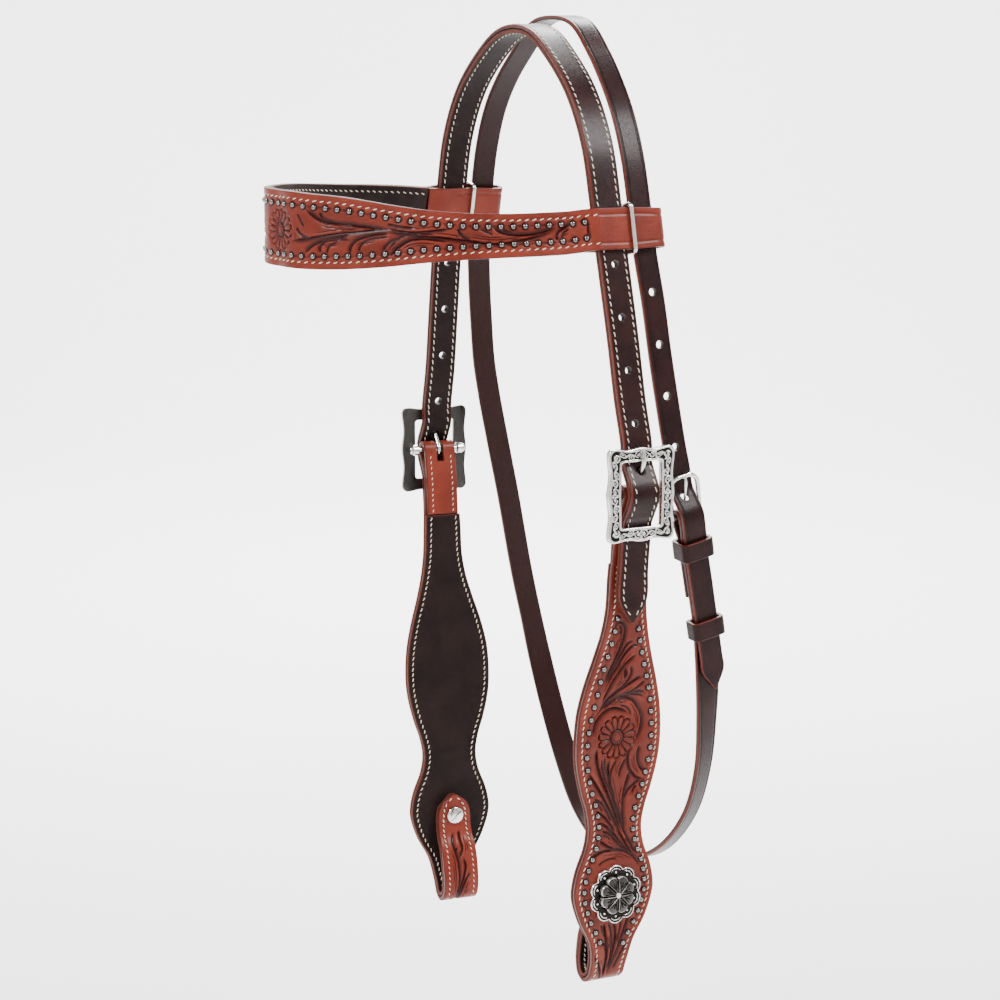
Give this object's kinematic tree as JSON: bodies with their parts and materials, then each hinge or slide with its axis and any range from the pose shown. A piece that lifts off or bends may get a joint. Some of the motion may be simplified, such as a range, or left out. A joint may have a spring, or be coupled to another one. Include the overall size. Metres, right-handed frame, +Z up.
{
  "type": "western headstall",
  "caption": "Western headstall with a shaped browband, tooled cheek pieces on cart buckles, bit loops under conchos and a buckled throatlatch.",
  "frame": {"origin": "the poll: the underside of the crown strap at its highest point, on the horse's middle plane", "axes": "+Z up, -Y the way the browband and the horse's face look, +X the horse's left (near) side, which carries the throatlatch buckle"},
  "size_m": [0.2248, 0.2075, 0.4806],
  "materials": {
    "tooled_leather": "oiled russet leather, floral tooling",
    "dark_leather": "dark oiled latigo leather",
    "lining_leather": "dark matt lining leather",
    "antique_silver": "antiqued engraved silver colour",
    "polished_steel": "polished"
  },
  "bodies": {
    "headpiece": {"crown_strap": "dark_leather", "crown_lining": "lining_leather", "browband_face": "tooled_leather", "browband_lining": "lining_leather", "left_browband_clip": "polished_steel", "right_browband_clip": "polished_steel", "throatlatch_strap": "dark_leather", "throatlatch_buckle_frame": "polished_steel", "throatlatch_upper_keeper": "dark_leather", "left_buckle_frame": "antique_silver", "left_buckle_bar": "polished_steel", "right_buckle_frame": "antique_silver", "right_buckle_bar": "polished_steel"},
    "left_cheek": {"left_cheek_face": "tooled_leather", "left_cheek_lining": "lining_leather", "left_concho": "antique_silver"},
    "right_cheek": {"right_cheek_face": "tooled_leather", "right_cheek_lining": "lining_leather", "right_concho": "antique_silver"},
    "left_screw": {"left_concho_screw": "polished_steel"},
    "right_screw": {"right_concho_screw": "polished_steel"},
    "left_tongue": {"left_buckle_tongue": "polished_steel"},
    "right_tongue": {"right_buckle_tongue": "polished_steel"},
    "throatlatch_tongue": {"throatlatch_buckle_tongue": "polished_steel"},
    "lower_keeper": {"throatlatch_lower_keeper": "dark_leather"}
  },
  "joints": [
    {"name": "left_cheek_swing", "type": "hinge", "parent": "headpiece", "child": "left_cheek", "pos_m": [0.1024, 0.00293, -0.2202], "axis": [-0.0174, 0.9998, 0], "range_deg": [0, 15]},
    {"name": "right_cheek_swing", "type": "hinge", "parent": "headpiece", "child": "right_cheek", "pos_m": [-0.10241, 0.00171, -0.224], "axis": [-0.0698, -0.9976, 0], "range_deg": [0, 15]},
    {"name": "left_screw_turn", "type": "hinge", "parent": "left_cheek", "child": "left_screw", "pos_m": [0.0794, 0.00008, -0.42422], "axis": [0.9998, 0.0174, 0], "continuous": true},
    {"name": "right_screw_turn", "type": "hinge", "parent": "right_cheek", "child": "right_screw", "pos_m": [-0.07942, 0.0001, -0.42398], "axis": [-0.9976, 0.0698, 0], "continuous": true},
    {"name": "left_tongue_lift", "type": "hinge", "parent": "headpiece", "child": "left_tongue", "pos_m": [0.1024, 0.00293, -0.2202], "axis": [-0.0174, 0.9998, 0], "range_deg": [0, 4]},
    {"name": "right_tongue_lift", "type": "hinge", "parent": "headpiece", "child": "right_tongue", "pos_m": [-0.10241, 0.00171, -0.224], "axis": [-0.0698, -0.9976, 0], "range_deg": [0, 4]},
    {"name": "throatlatch_tongue_lift", "type": "hinge", "parent": "headpiece", "child": "throatlatch_tongue", "pos_m": [0.0929, 0.0381, -0.235], "axis": [0, 0.9781, 0.2079], "range_deg": [0, 4]},
    {"name": "lower_keeper_slide", "type": "slide", "parent": "headpiece", "child": "lower_keeper", "axis": [0.0685, -0.2074, 0.9759], "range_m": [-0.005, 0.008]}
  ]
}
